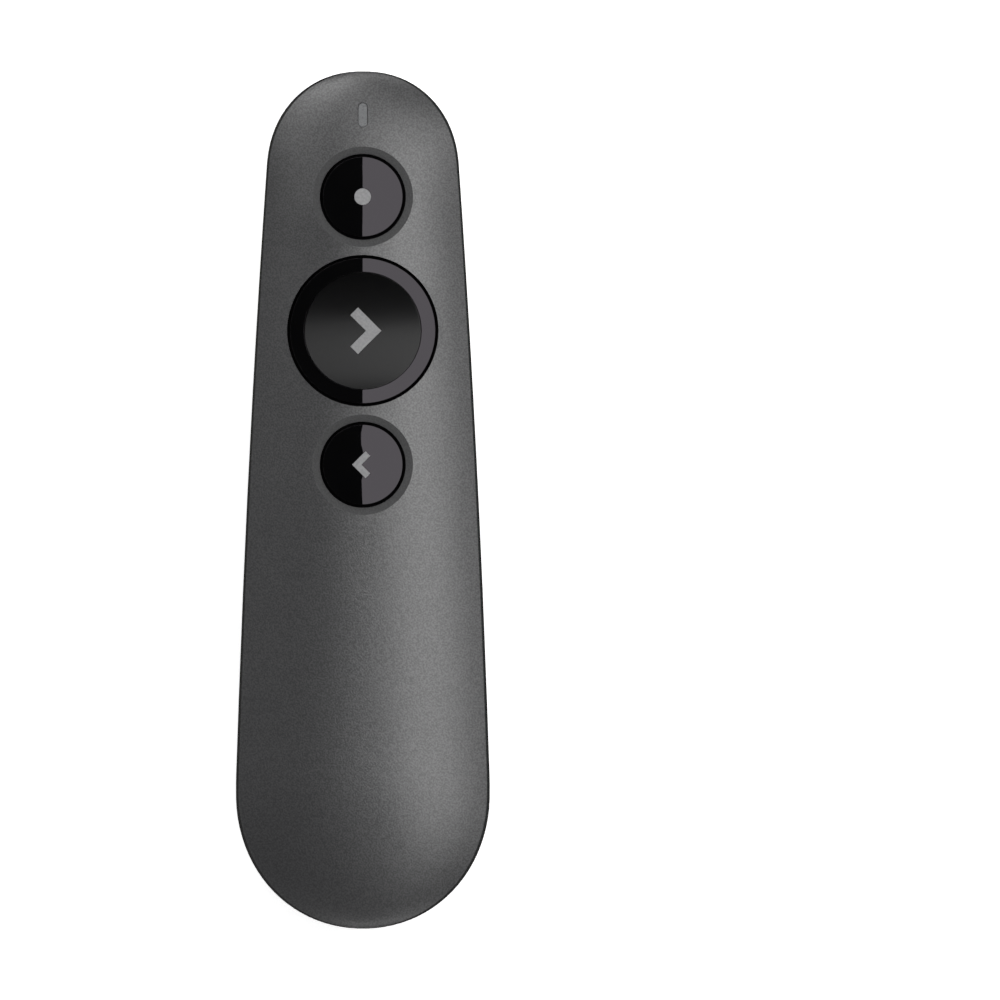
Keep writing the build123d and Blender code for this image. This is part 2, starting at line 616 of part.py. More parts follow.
def main_board():
    low, high = Z_BOARD_LOW - THROUGH, Z_BOARD + THROUGH
    back = LENGTH - BOARD_BACK_AHEAD
    board = block(-BOARD_HALF, BOARD_HALF, BOARD_FRONT_T, back, Z_BOARD_LOW, Z_BOARD)
    fork = block(-FORK_HALF, FORK_HALF, 0, FORK_END_T, low, high)
    bosses = [post(x, t, low, high, BOSS_R + SLIDE_FIT) for x, t in TRAY_SCREWS]
    return (board & body_form(BOARD_INSET)) - ([fork] + bosses + screw_holes(CASE_SCREWS, low, high))


def switch(t):
    half = SWITCH_SIDE / 2
    body = block(-half, half, t - half, t + half, Z_BOARD, Z_SWITCH)
    depth = PLUNGER_DEEP + BUTTON_TRAVEL
    return body - post(0, t, Z_SWITCH - depth - SEAT_FIT, Z_SWITCH + THROUGH, PLUNGER_R + SLIDE_FIT)


def plunger(t):
    return post(0, t, Z_SWITCH - PLUNGER_DEEP, Z_PLUNGER, PLUNGER_R)


def chip(x, t, wide, long, tall):
    """Small flat part on the board."""
    return block(x - wide / 2, x + wide / 2, t - long / 2, t + long / 2, Z_BOARD, Z_BOARD + tall)


def status_light():
    return chip(-LED_OFF, WINDOW_T, LED_SIZE, LED_SIZE, LED_HEIGHT)


def light_guide():
    """Window in the cover, a bar to the side, and a leg down to the status light."""
    bar_z = Z_BOARD + GUIDE_LIFT
    window = window_prism(0, bar_z) & body_form(WINDOW_RECESS)
    half = LED_SIZE / 2
    bar = block(-LED_OFF - half, 0, WINDOW_T - half, WINDOW_T + half, bar_z, bar_z + GUIDE_BAR)
    low = Z_BOARD + LED_HEIGHT + SEAT_FIT
    leg = block(-LED_OFF - half, -LED_OFF + half, WINDOW_T - half, WINDOW_T + half, low, bar_z + GUIDE_BAR)
    return window + bar + leg


# ---------------------------------------------------------------- laser

def laser_barrel():
    barrel = rod(0, LASER_Z, BARREL_T, BARREL_END_T, BARREL_R)
    return barrel - rod(0, LASER_Z, BARREL_T - THROUGH, BARREL_END_T + THROUGH, BARREL_BORE_R)


def laser_diode():
    flange = rod(0, LASER_Z, BARREL_END_T, BARREL_END_T + DIODE_LONG / 2, DIODE_FLANGE_R)
    can = rod(0, LASER_Z, BARREL_END_T - DIODE_LONG, BARREL_END_T, BARREL_BORE_R - SEAT_FIT)
    diode = flange + can
    z = Z_BOARD + DIODE_PIN_R
    for x in (-DIODE_PIN_OFF, DIODE_PIN_OFF):
        diode += rod(x, z, BARREL_END_T, FORK_END_T + DIODE_PIN_END, DIODE_PIN_R)
    return diode


# ---------------------------------------------------------------- power

def cell(side):
    """One cell; side -1 has its plain end to the nose, side +1 its nub."""
    x = side * CELL_OFF
    start = BAY_T + CONTACT_THICK + (SPRING_LONG if side < 0 else NUB_LONG)
    can = rod(x, CELL_Z, start, start + CELL_LONG - NUB_LONG, CELL_R)
    can = fillet(can.edges(), CELL_EDGE)
    nub_t = start + CELL_LONG - NUB_LONG if side < 0 else start - NUB_LONG
    return can + rod(x, CELL_Z, nub_t, nub_t + NUB_LONG, NUB_R)


def cell_spring(side):
    """Conical spring behind a cell's plain end, wide end on its contact."""
    wire = SPRING_WIRE_R
    rise = SPRING_LONG - 2 * wire
    slope = degrees(atan2(SPRING_NARROW_R - SPRING_WIDE_R, rise))
    coil = Helix(rise / SPRING_TURN_COUNT, rise, SPRING_WIDE_R, cone_angle=slope)
    start = Plane(origin=coil @ 0, z_dir=coil % 0)
    spring = sweep(start * Circle(wire), path=coil)
    if side < 0:
        return Pos(-CELL_OFF, y_at(BAY_T + CONTACT_THICK + wire), CELL_Z) * Rot(90, 0, 0) * spring
    return Pos(CELL_OFF, y_at(BAY_END_T - CONTACT_THICK - wire), CELL_Z) * Rot(-90, 0, 0) * spring


def contact(x0, x1, t):
    """Flat contact with a tab up to the board."""
    low, high = CELL_Z - CONTACT_HALF / 2, CELL_Z + CONTACT_HALF
    plate = block(x0, x1, t, t + CONTACT_THICK, low, high)
    middle = (x0 + x1) / 2
    return plate + block(middle - CONTACT_TAB, middle + CONTACT_TAB, t, t + CONTACT_THICK, high, Z_BOARD_LOW)


def nose_contacts():
    return group(contact(side * CELL_OFF - CONTACT_HALF, side * CELL_OFF + CONTACT_HALF, BAY_T)
                 for side in (-1, 1))


def bridge_contact():
    edge = CELL_OFF + CONTACT_HALF
    return contact(-edge, edge, BAY_END_T - CONTACT_THICK)


def screw(x, t, head_z, top_z):
    """Screw driven upwards: head below head_z, thread up to top_z."""
    shank = post(x, t, head_z, top_z, SCREW_R)
    low = head_z - SCREW_HEAD
    head = post(x, t, low, head_z, SCREW_HEAD_R)
    for wide, long in ((SCREW_HEAD_R, SCREW_CROSS), (SCREW_CROSS, SCREW_HEAD_R)):
        head -= block(x - wide, x + wide, t - long, t + long, low, head_z - SCREW_HEAD / 2)
    return shank + head


# ---------------------------------------------------------------- buttons

def button_cap(t, radius, drop, proud, roof):
    """Cap with a guide flange, hollow below, and a nub over its switch."""
    flange_top = Z_FACE - drop - FLANGE_FIT
    flange_low = flange_top - FLANGE_THICK
    cap = post(0, t, flange_low, Z_FACE + THROUGH, radius) & lifted(OUTER, proud)
    cap += post(0, t, flange_low, flange_top, radius + FLANGE_OUT)
    cap -= post(0, t, flange_low - THROUGH, roof, radius - CAP_WALL)
    return cap + post(0, t, Z_PLUNGER, roof, PLUNGER_R + NUB_OUT)


def next_dish_form(lift=0.0):
    """Thumb dish: hollow along the body, and everywhere below the ring's crown."""
    well = post(0, NEXT_BUTTON_T, Z_DISH_LOW - DISH_SEAT, Z_FACE, NEXT_DISH_R)
    centre = (0, y_at(NEXT_BUTTON_T), Z_DISH_LOW + lift + NEXT_DISH_CURVE)
    hollow = Pos(*centre) * Rot(0, 90, 0) * Cylinder(NEXT_DISH_CURVE, 4 * NEXT_DISH_R)
    return (well & lifted(OUTER, lift - NEXT_DISH_STEP)) - hollow


def chevron(t, out, tip, stroke, reach):
    """Upright prism of a square chevron that points to `out` times +X.

    tip is its point beside the centre line, stroke its width along X, and
    reach says where its arms end: they are cut square at y = reach + x.
    """
    far, near = (tip + reach) / 2, (tip - stroke + reach) / 2
    half = [(tip, 0), (far - reach, far), (near - reach, near), (tip - stroke, 0)]
    outline = half + [(x, -y) for x, y in half[2:0:-1]]
    face = make_face(Polyline(*[(out * x, y_at(t) + y) for x, y in outline], close=True))
    return Pos(0, 0, Z_BOARD) * extrude(face, amount=BODY_DEPTH)


def save_small_button(name, t, stamp):
    """A small button with a thin inlay where the stamp meets its top."""
    cap = button_cap(t, SMALL_BUTTON_R, SMALL_COLLAR_DROP, SMALL_PROUD, Z_FACE - CAP_ROOF)
    pocket = stamp - lifted(OUTER, SMALL_PROUD - ICON_DEPTH)
    save(f"{name}_button", cap - pocket)
    save(f"{name}_icon", pocket & lifted(OUTER, SMALL_PROUD + ICON_PROUD))


def save_next_button():
    t = NEXT_BUTTON_T
    cap = button_cap(t, NEXT_BUTTON_R, NEXT_COLLAR_DROP, 0.0, Z_DISH_LOW - CAP_ROOF)
    save("next_button", cap - post(0, t, Z_DISH_LOW - DISH_SEAT, Z_FACE + THROUGH, NEXT_DISH_R + SEAT_FIT))
    stamp = chevron(t, 1, *NEXT_CHEVRON)
    floor = next_dish_form(-ICON_DEPTH)
    save("next_dish", next_dish_form() - (stamp - floor))
    save("next_icon", (stamp & next_dish_form(ICON_PROUD)) - floor)


# ---------------------------------------------------------------- receiver

def receiver_head():
    half = RECEIVER_WIDE / 2
    high = Z_RECEIVER_LOW + RECEIVER_THICK
    head = block(-half, half, HEAD_T, LENGTH + RECEIVER_PROUD, Z_RECEIVER_LOW, high)
    head = fillet(head.edges().filter_by(Axis.Y), RECEIVER_ROUND) - behind_cut(-RECEIVER_PROUD)
    head &= post(0, LENGTH - RECEIVER_TIP - RECEIVER_BOW, 0, BODY_DEPTH, RECEIVER_BOW)
    wide, tall = PLUG_WIDE / 2, PLUG_THICK / 2
    return head - block(-wide, wide, HEAD_T, HEAD_T + HEAD_POCKET, Z_RECEIVER - tall, Z_RECEIVER + tall)


def usb_shell():
    """Metal sleeve of the plug, with its two latch windows on each broad side."""
    wide, tall = PLUG_WIDE / 2, PLUG_THICK / 2
    shell = block(-wide, wide, PLUG_T, HEAD_T + PLUG_SUNK, Z_RECEIVER - tall, Z_RECEIVER + tall)
    wide, tall = wide - PLUG_WALL, tall - PLUG_WALL
    shell -= block(-wide, wide, PLUG_T - THROUGH, LENGTH, Z_RECEIVER - tall, Z_RECEIVER + tall)
    near = PLUG_T + LATCH_T
    for x in (-LATCH_OFF, LATCH_OFF):
        edges = (x - LATCH_SIDE / 2, x + LATCH_SIDE / 2)
        shell -= block(*edges, near, near + LATCH_SIDE, 0, BODY_DEPTH)
    return shell


def usb_tongue():
    half = PLUG_WIDE / 2 - PLUG_WALL
    return block(-half, half, PLUG_T + TONGUE_BACK, HEAD_T + PLUG_SUNK, Z_TONGUE, Z_TONGUE + TONGUE_THICK)


def usb_contacts():
    half, low = PAD_WIDE / 2, Z_TONGUE - PAD_THICK
    return group(block(x - half, x + half, PLUG_T + PAD_BACK, HEAD_T, low, Z_TONGUE) for x in PAD_XS)


def receiver_board():
    half = PLUG_WIDE / 2 - PLUG_WALL
    return block(-half, half, HEAD_T + PLUG_SUNK, HEAD_T + HEAD_POCKET, Z_TONGUE, Z_TONGUE + CHIP_BOARD_THICK)


# ---------------------------------------------------------------- writing

os.makedirs("parts", exist_ok=True)

save("front_cover", front_cover())
save("rear_housing", rear_housing())
save("rear_label", rear_label())
save("battery_cover", battery_cover())
save("inner_chassis", inner_chassis())
save("receiver_dock", receiver_dock())

save("main_board", main_board())
for name, t, radius, drop, proud in BUTTONS:
    save(f"{name}_switch", switch(t))
    save(f"{name}_plunger", plunger(t))
save("controller_chip", chip(*CONTROLLER))
save("radio_chip", chip(*RADIO))
save("clock_crystal", chip(*CRYSTAL))
antenna_t = LENGTH - BOARD_BACK_AHEAD - ANTENNA_AHEAD
save("antenna_element", chip(ANTENNA_OFF, antenna_t, *ANTENNA))
save("board_capacitors", group(chip(x, t, *CAPACITOR) for x, t in CAPACITOR_PLACES))
save("status_light", status_light())
save("light_guide", light_guide())

save("laser_window", rod(0, LASER_Z, LASER_WINDOW_T, LASER_WINDOW_T + LASER_WINDOW_THICK, LASER_WINDOW_R))
save("laser_barrel", laser_barrel())
save("laser_lens", rod(0, LASER_Z, BARREL_T, BARREL_T + LENS_THICK, BARREL_BORE_R - SEAT_FIT))
save("laser_diode", laser_diode())

save("left_cell", cell(-1))
save("right_cell", cell(1))
save("left_cell_spring", cell_spring(-1))
save("right_cell_spring", cell_spring(1))
save("nose_contacts", nose_contacts())
save("bridge_contact", bridge_contact())

save("case_screws", group(screw(x, t, Z_CASE_SCREW, Z_SCREW_END) for x, t in CASE_SCREWS))
save("tray_screws", group(screw(x, t, Z_EAR, Z_SCREW_END) for x, t in TRAY_SCREWS))

dot = post(0, LASER_BUTTON_T, Z_CREASE, Z_FACE + THROUGH, DOT_R)
save_small_button("laser", LASER_BUTTON_T, dot)
save_small_button("back", BACK_BUTTON_T, chevron(BACK_BUTTON_T, -1, *BACK_CHEVRON))
save_next_button()

save("receiver_head", receiver_head())
save("usb_shell", usb_shell())
save("usb_tongue", usb_tongue())
save("usb_contacts", usb_contacts())
save("receiver_board", receiver_board())
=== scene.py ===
import json
import math

import bpy
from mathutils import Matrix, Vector


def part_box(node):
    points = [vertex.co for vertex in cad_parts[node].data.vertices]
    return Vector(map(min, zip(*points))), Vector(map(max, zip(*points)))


# Lengths are metres and colours are linear. The frame is the part's own, with the part on its back:
# +Z out of the button face, +Y towards the nose, +X across the body.
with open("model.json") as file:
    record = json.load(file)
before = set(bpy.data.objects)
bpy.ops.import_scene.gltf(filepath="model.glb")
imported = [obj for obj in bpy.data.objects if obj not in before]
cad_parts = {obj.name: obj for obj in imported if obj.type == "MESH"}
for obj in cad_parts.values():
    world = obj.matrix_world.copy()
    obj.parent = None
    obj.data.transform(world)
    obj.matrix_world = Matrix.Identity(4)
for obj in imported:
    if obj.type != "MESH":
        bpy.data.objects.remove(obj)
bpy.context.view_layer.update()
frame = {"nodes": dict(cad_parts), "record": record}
nodes = frame["nodes"]
scene = bpy.context.scene

# ------------------------------------------------------------ node helpers

SOCKETS = {"base": "Base Color", "metal": "Metallic", "rough": "Roughness", "ior": "IOR",
           "gloss": "Specular IOR Level", "tint": "Specular Tint", "clear": "Transmission Weight",
           "coat": "Coat Weight", "coat_rough": "Coat Roughness"}
WHITE = (1.0, 1.0, 1.0)
BLACK = (0.0, 0.0, 0.0)
ASKEW = (0.6, 0.5, 0.9)       # turn of a noise, so that its lattice doesn't show on flat faces
NOISE_LOW = 0.3               # nearly all of a noise lies from here
NOISE_HIGH = 0.7              # to here
BEVEL_SAMPLES = 6
HEIGHT_SOFT = 0.00002         # half of the step at the edge of a mask by height
DISC_SOFT = 0.00004           # half of the step at the edge of a round mask


def scaled(colour, factor):
    return tuple(c * factor for c in colour)


def middle(low, high):
    return (low + high) / 2


class Graph:
    """A material under construction, with its Principled shader."""

    def __init__(self, name):
        self.material = bpy.data.materials.new(name)
        self.material.use_nodes = True
        self.tree = self.material.node_tree
        self.shader = self.tree.nodes["Principled BSDF"]
        self.coords = self.tree.nodes.new("ShaderNodeTexCoord").outputs["Object"]

    def set(self, **values):
        """Values that are the same all over the surface, by their names in SOCKETS."""
        for name, value in values.items():
            is_colour = isinstance(value, tuple)
            self.shader.inputs[SOCKETS[name]].default_value = (*value, 1.0) if is_colour else value
        return self

    def node(self, kind, **settings):
        made = self.tree.nodes.new(kind)
        for name, value in settings.items():
            setattr(made, name, value)
        return made

    def link(self, source, target):
        self.tree.links.new(source, target)

    def mapped(self, scale=(1.0, 1.0, 1.0), turn=(0.0, 0.0, 0.0)):
        """Object coordinates multiplied by a factor per axis, then turned."""
        mapping = self.node("ShaderNodeMapping")
        mapping.inputs["Scale"].default_value = scale
        mapping.inputs["Rotation"].default_value = turn
        self.link(self.coords, mapping.inputs["Vector"])
        return mapping.outputs["Vector"]

    def noise(self, size, detail=2.0, rough=0.5, stretch=None):
        """Noise with features of about `size` metres, askew unless it is stretched."""
        made = self.node("ShaderNodeTexNoise")
        made.inputs["Scale"].default_value = 1 / size
        made.inputs["Detail"].default_value = detail
        made.inputs["Roughness"].default_value = rough
        self.link(self.mapped(stretch) if stretch else self.mapped(turn=ASKEW), made.inputs["Vector"])
        return made.outputs["Fac"]

    def remap(self, value, low, high, start=NOISE_LOW, stop=NOISE_HIGH):
        """The value with start..stop turned into low..high, and held inside that."""
        made = self.node("ShaderNodeMapRange")
        for name, number in (("From Min", start), ("From Max", stop), ("To Min", low), ("To Max", high)):
            made.inputs[name].default_value = number
        self.link(value, made.inputs["Value"])
        return made.outputs["Result"]

    def math(self, operation, *values):
        made = self.node("ShaderNodeMath", operation=operation)
        for socket, value in zip(made.inputs, values):
            if isinstance(value, (int, float)):
                socket.default_value = value
            else:
                self.link(value, socket)
        return made.outputs[0]

    def mix(self, factor, first, second):
        """Colour between two colours."""
        made = self.node("ShaderNodeMix", data_type="RGBA")
        self.link(factor, made.inputs["Factor"])
        for socket, value in ((made.inputs["A"], first), (made.inputs["B"], second)):
            if isinstance(value, tuple):
                socket.default_value = (*value, 1.0)
            else:
                self.link(value, socket)
        return made.outputs["Result"]

    def colour(self, source):
        self.link(source, self.shader.inputs["Base Color"])

    def roughness(self, source):
        self.link(source, self.shader.inputs["Roughness"])

    def bump(self, height, depth, edge=0.0):
        """Bump of about `depth` metres, over edges that look rounded by `edge` metres."""
        made = self.node("ShaderNodeBump")
        made.inputs["Distance"].default_value = depth
        self.link(height, made.inputs["Height"])
        if edge:
            rounded = self.node("ShaderNodeBevel", samples=BEVEL_SAMPLES)
            rounded.inputs["Radius"].default_value = edge
            self.link(rounded.outputs["Normal"], made.inputs["Normal"])
        self.link(made.outputs["Normal"], self.shader.inputs["Normal"])

    def axis(self, name):
        made = self.node("ShaderNodeSeparateXYZ")
        self.link(self.coords, made.inputs[0])
        return made.outputs[name]

    def distance(self, x, y, z):
        """Distance from a point, measured without the axes on which that point is None."""
        flat = self.mapped([0.0 if v is None else 1.0 for v in (x, y, z)])
        made = self.node("ShaderNodeVectorMath", operation="DISTANCE")
        made.inputs[1].default_value = [v or 0.0 for v in (x, y, z)]
        self.link(flat, made.inputs[0])
        return made.outputs["Value"]

    def below(self, z):
        """1 below a height, 0 above it."""
        return self.remap(self.axis("Z"), 1.0, 0.0, z - HEIGHT_SOFT, z + HEIGHT_SOFT)

    def disc(self, x, y, radius):
        """1 inside an upright cylinder, 0 outside it."""
        return self.remap(self.distance(x, y, None), 1.0, 0.0, radius - DISC_SOFT, radius + DISC_SOFT)


# ------------------------------------------------------------ kinds of material

PATCH_SIZE = 0.012            # a plastic's broad changes of tone
GRAIN_SHARE = 0.75            # share of its grain in the tone, against those broad changes
FINISH_LOW = 0.97             # its roughness goes from this times its level
FINISH_HIGH = 1.04            # to this times its level
SOFT_EDGE = 0.00012           # how far the edges of a plastic look rounded
CRISP_EDGE = 0.00006          # and of metal and of the gloss buttons
LINE_SIZE = 0.0003            # a metal's fine lines
LINE_DEPTH = 0.0000002
LINE_TONE = 0.92              # how dark they are, times the colour
LINE_SMOOTHER = 0.03          # how far the roughness goes below its level
LINE_ROUGHER = 0.06           # and above it
GLASS_IOR = 1.52
SMEAR_SIZE = 0.003            # smears on the glass
SMEAR_ROUGH = 0.03            # what they add to its roughness
BAND_LONG = 0.0075            # pale band of a cell's sleeve, with the nub
STEEL_LONG = 0.001            # how far a cell's ends can show steel, along it
STEEL_STEP = 0.0001           # over what length that begins
SLEEVE_LIP = 0.0046           # and up to this radius
SLEEVE_STEP = 0.00005         # over what length the band and that radius end


def plastic(name, colour, rough, grain, depth, gloss=0.5, edge=SOFT_EDGE, shift=0.12,
            sparkle=0.0, tint=WHITE, dull=None):
    """Moulded plastic with an eroded grain and a slight change of tone.

    grain and depth are the size and the height of the grain. The tone goes up
    and down by the share shift, and the grain takes up to the share sparkle
    from the reflections. The last argument is a function of the graph that
    gives a list of (mask, colour, roughness): where such a mask is 1, the
    surface takes that colour and roughness, for a duller finish and for
    painted shade.
    """
    g = Graph(name).set(gloss=gloss, tint=tint)
    fine = g.noise(grain, detail=0.0)
    broad = g.noise(PATCH_SIZE, detail=1.0)
    blend = g.math("ADD", g.math("MULTIPLY", fine, GRAIN_SHARE),
                   g.math("MULTIPLY", broad, 1 - GRAIN_SHARE))
    tone = g.mix(g.remap(blend, 0.0, 1.0), scaled(colour, 1 - shift), scaled(colour, 1 + shift))
    finish = g.remap(fine, rough * FINISH_LOW, rough * FINISH_HIGH)
    # duller finishes and painted shade, laid over the tone and the roughness
    for mask, dull_and_shade_colour, level in (dull(g) if dull else ()):
        tone = g.mix(mask, tone, dull_and_shade_colour)
        finish = g.math("ADD", g.math("MULTIPLY", finish, g.math("SUBTRACT", 1.0, mask)),
                        g.math("MULTIPLY", mask, level))
    g.colour(tone)
    g.roughness(finish)
    if sparkle:
        glint = g.mix(g.remap(fine, 0.0, 1.0), scaled(WHITE, 1 - sparkle), WHITE)
        g.link(glint, g.shader.inputs[SOCKETS["tint"]])
    g.bump(fine, depth, edge)
    return g.material


def metal(name, colour, rough, stretch):
    """Drawn, stamped or turned metal, with fine lines.

    stretch is a factor per axis: the lines run along an axis where it is small.
    """
    g = Graph(name).set(metal=1.0)
    lines = g.noise(LINE_SIZE, detail=3.0, rough=0.6, stretch=stretch)
    g.colour(g.mix(g.remap(lines, 0.0, 1.0), scaled(colour, LINE_TONE), colour))
    g.roughness(g.remap(lines, rough - LINE_SMOOTHER, rough + LINE_ROUGHER))
    g.bump(lines, LINE_DEPTH, CRISP_EDGE)
    return g.material


def glass(name, colour, rough):
    """Clear or coloured glass, slightly smeared."""
    g = Graph(name).set(base=colour, clear=1.0, ior=GLASS_IOR)
    g.roughness(g.remap(g.noise(SMEAR_SIZE), rough, rough + SMEAR_ROUGH))
    return g.material


def board(name):
    """Solder mask over copper: tracks show as faint raised lines."""
    bare, track, speckled = (0.012, 0.085, 0.035), (0.03, 0.16, 0.07), (0.02, 0.1, 0.05)
    g = Graph(name).set(gloss=0.5)
    cells = g.node("ShaderNodeTexBrick")
    for socket, value in (("Scale", 900.0), ("Mortar Size", 0.035), ("Mortar Smooth", 0.3)):
        cells.inputs[socket].default_value = value
    g.link(g.coords, cells.inputs["Vector"])
    specks = g.noise(size=0.0007, detail=3.0)
    base = g.mix(cells.outputs["Fac"], bare, track)
    g.colour(g.mix(g.remap(specks, low=0.0, high=0.25), base, speckled))
    g.roughness(g.remap(specks, low=0.28, high=0.42))
    g.bump(cells.outputs["Fac"], depth=0.00002)
    return g.material


def sleeve(name, node, nub):
    """Shrink sleeve of a cell: a pale band at its nub's end, steel at both ends.

    nub is 1 where the nub points along +Y, -1 where it points along -Y.
    """
    foil_dark, foil_light = (0.03, 0.05, 0.09), (0.045, 0.075, 0.13)
    pale, bare_steel = (0.33, 0.34, 0.36), (0.6, 0.6, 0.58)
    g = Graph(name).set(coat=0.4, coat_rough=0.1)
    low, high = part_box(node)
    wrinkles = g.noise(size=0.002, stretch=(1.0, 0.15, 1.0))
    towards_nub = g.math("MULTIPLY", g.axis("Y"), float(nub))
    band_from = (high[1] if nub > 0 else -low[1]) - BAND_LONG
    band = g.remap(towards_nub, 0.0, 1.0, band_from, band_from + SLEEVE_STEP)
    from_middle = g.math("ABSOLUTE", g.math("SUBTRACT", g.axis("Y"), middle(low[1], high[1])))
    steel_from = (high[1] - low[1]) / 2 - STEEL_LONG
    near_end = g.remap(from_middle, 0.0, 1.0, steel_from, steel_from + STEEL_STEP)
    from_centre = g.distance(middle(low[0], high[0]), None, middle(low[2], high[2]))
    inside_lip = g.remap(from_centre, 1.0, 0.0, SLEEVE_LIP, SLEEVE_LIP + SLEEVE_STEP)
    steel = g.math("MULTIPLY", near_end, inside_lip)
    foil = g.mix(g.remap(wrinkles, 0.0, 1.0), foil_dark, foil_light)
    g.colour(g.mix(steel, g.mix(band, foil, pale), bare_steel))
    g.roughness(g.remap(wrinkles, low=0.22, high=0.34))
    g.link(steel, g.shader.inputs["Metallic"])
    g.bump(wrinkles, depth=0.00001)
    return g.material


def sticker(name):
    """Blank coated label, with faint fibres and broad changes of tone."""
    dark, light = (0.30, 0.29, 0.012), (0.35, 0.34, 0.018)
    g = Graph(name).set(gloss=0.4)
    fibres = g.noise(size=0.0006, detail=4.0, rough=0.65)
    broad = g.noise(size=0.008)
    g.colour(g.mix(g.remap(broad, 0.0, 1.0), dark, light))
    g.roughness(g.remap(fibres, low=0.38, high=0.5))
    g.bump(fibres, depth=0.000012)
    return g.material


def frosted(name):
    """Light guide of frosted plastic, with no light behind it."""
    dark, light = (0.112, 0.116, 0.119), (0.152, 0.156, 0.16)
    g = Graph(name).set(gloss=0.5)
    fine = g.noise(size=0.00025)
    g.colour(g.mix(g.remap(fine, 0.0, 1.0), dark, light))
    g.roughness(g.remap(fine, low=0.25, high=0.4))
    g.bump(fine, depth=0.00001, edge=SOFT_EDGE)
    return g.material


# ------------------------------------------------------------ masks and materials of the part

CREASE_Z = 0.0217             # sharp edge between the crowned face and the sides
CREASE_SHADE_ABOVE = 0.00014        # how far its painted shade line reaches above it
CREASE_SHADE_BELOW = 0.00006        # and below it
FLANGE_Z = 0.0228             # between the flanges of the buttons and their faces
RING_R = 0.00725              # sloping ring of the cover around each small button
RING_GREY = (0.045, 0.045, 0.046)
# Black of painted shade: the line along the sharp edge, and the button flanges in their gaps.
PAINTED_SHADE_BLACK = (0.001, 0.001, 0.001)
RING_ROUGH = 0.9
CREASE_SHADE_ROUGH = 1.0
FLANGE_ROUGH = 0.95


def ring(g, node):
    """1 on the button `node` and on the cover's ring around it."""
    low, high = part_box(node)
    return g.disc(middle(low[0], high[0]), middle(low[1], high[1]), RING_R)


def ring_finish_and_crease_shade(g):
    """Matt rings round the small buttons, and painted shade: a black line along the sharp edge."""
    # painted shade: a black band over the sharp edge
    crease_shade = g.math("SUBTRACT", g.below(CREASE_Z + CREASE_SHADE_ABOVE), g.below(CREASE_Z - CREASE_SHADE_BELOW))
    rings = g.math("MAXIMUM", ring(g, "laser_button"), ring(g, "back_button"))
    return [(rings, RING_GREY, RING_ROUGH), (crease_shade, PAINTED_SHADE_BLACK, CREASE_SHADE_ROUGH)]


def flange_dull_and_shade(g):
    """The flange inside the cover is left dull and black: painted shade in the gap round each button."""
    return [(g.below(FLANGE_Z), PAINTED_SHADE_BLACK, FLANGE_ROUGH)]


graphite = {"colour": (0.036, 0.036, 0.0374), "rough": 0.34, "grain": 0.00024, "depth": 0.000009,
            "gloss": 1.0, "shift": 0.09, "sparkle": 0.36}
materials = {
    "graphite_shell": plastic("graphite", **graphite),
    "gloss_black": plastic("gloss_black", (0.002, 0.002, 0.0022), rough=0.015, grain=0.004,
                           depth=0.00000005, gloss=0.25, edge=CRISP_EDGE, tint=(0.98, 0.91, 1.0),
                           dull=flange_dull_and_shade),
    "satin_black": plastic("satin_black", (0.001, 0.001, 0.0012), rough=0.21, grain=0.0003,
                           depth=0.0000005, gloss=0.28),
    "icon_grey": plastic("icon_grey", (0.25, 0.25, 0.255), rough=0.5, grain=0.0003, depth=0.000003),
    "window_grey": frosted("window_grey"),
    "laser_glass": glass("laser_glass", (0.45, 0.03, 0.03), rough=0.03),
    "lens_glass": glass("lens_glass", (0.95, 0.97, 0.97), rough=0.02),
    "black_plastic": plastic("black_plastic", (0.014, 0.014, 0.015), rough=0.5, grain=0.0004,
                             depth=0.00001),
    "board_green": board("board_green"),
    "chip_black": plastic("chip_black", (0.02, 0.02, 0.021), rough=0.45, grain=0.0002, depth=0.000004),
    "switch_steel": metal("switch_steel", (0.62, 0.62, 0.61), rough=0.32, stretch=(1.0, 0.08, 1.0)),
    "led_white": plastic("led_white", (0.75, 0.75, 0.70), rough=0.2, grain=0.0006, depth=0.000001),
    "ceramic_tan": plastic("ceramic_tan", (0.42, 0.32, 0.2), rough=0.55, grain=0.0002, depth=0.000004),
    "brass_turned": metal("brass_turned", (0.78, 0.55, 0.24), rough=0.25, stretch=(0.1, 2.0, 0.1)),
    "nickel": metal("nickel", (0.66, 0.65, 0.61), rough=0.27, stretch=(1.0, 0.1, 1.0)),
    "spring_steel": metal("spring_steel", (0.58, 0.58, 0.56), rough=0.28, stretch=(1.0, 1.0, 1.0)),
    "cell_sleeve": sleeve("left_sleeve", "left_cell", nub=-1),
    "screw_steel": metal("screw_steel", (0.16, 0.16, 0.165), rough=0.38, stretch=(1.0, 1.0, 1.0)),
    "label_yellow": sticker("label_yellow"),
    "gold_contact": metal("gold_contact", (0.88, 0.63, 0.24), rough=0.22, stretch=(1.0, 0.1, 1.0)),
    "tongue_white": plastic("tongue_white", (0.7, 0.7, 0.66), rough=0.42, grain=0.0005, depth=0.000004),
}
# Nodes that need masks of their own. A rounded edge made dark dots on the front cover's end walls.
own_materials = {
    "right_cell": sleeve("right_sleeve", "right_cell", nub=1),
    "front_cover": plastic("graphite_face", **graphite, edge=0.0, dull=ring_finish_and_crease_shade),
}
for part in frame["record"]["subparts"]:
    mesh = nodes[part["node"]].data
    mesh.materials.clear()
    mesh.materials.append(own_materials.get(part["node"], materials[part["material_slot"]]))

# ------------------------------------------------------------ floor

FLOOR_REACH = 9.0
FLOOR_Z = -0.00002            # a little under the part, so that no face shares its plane
FLOOR_PAPER = (0.9, 0.9, 0.9)
FLOOR_GLOW = (0.66, 0.66, 0.66)    # added where it is seen or mirrored, for the white background


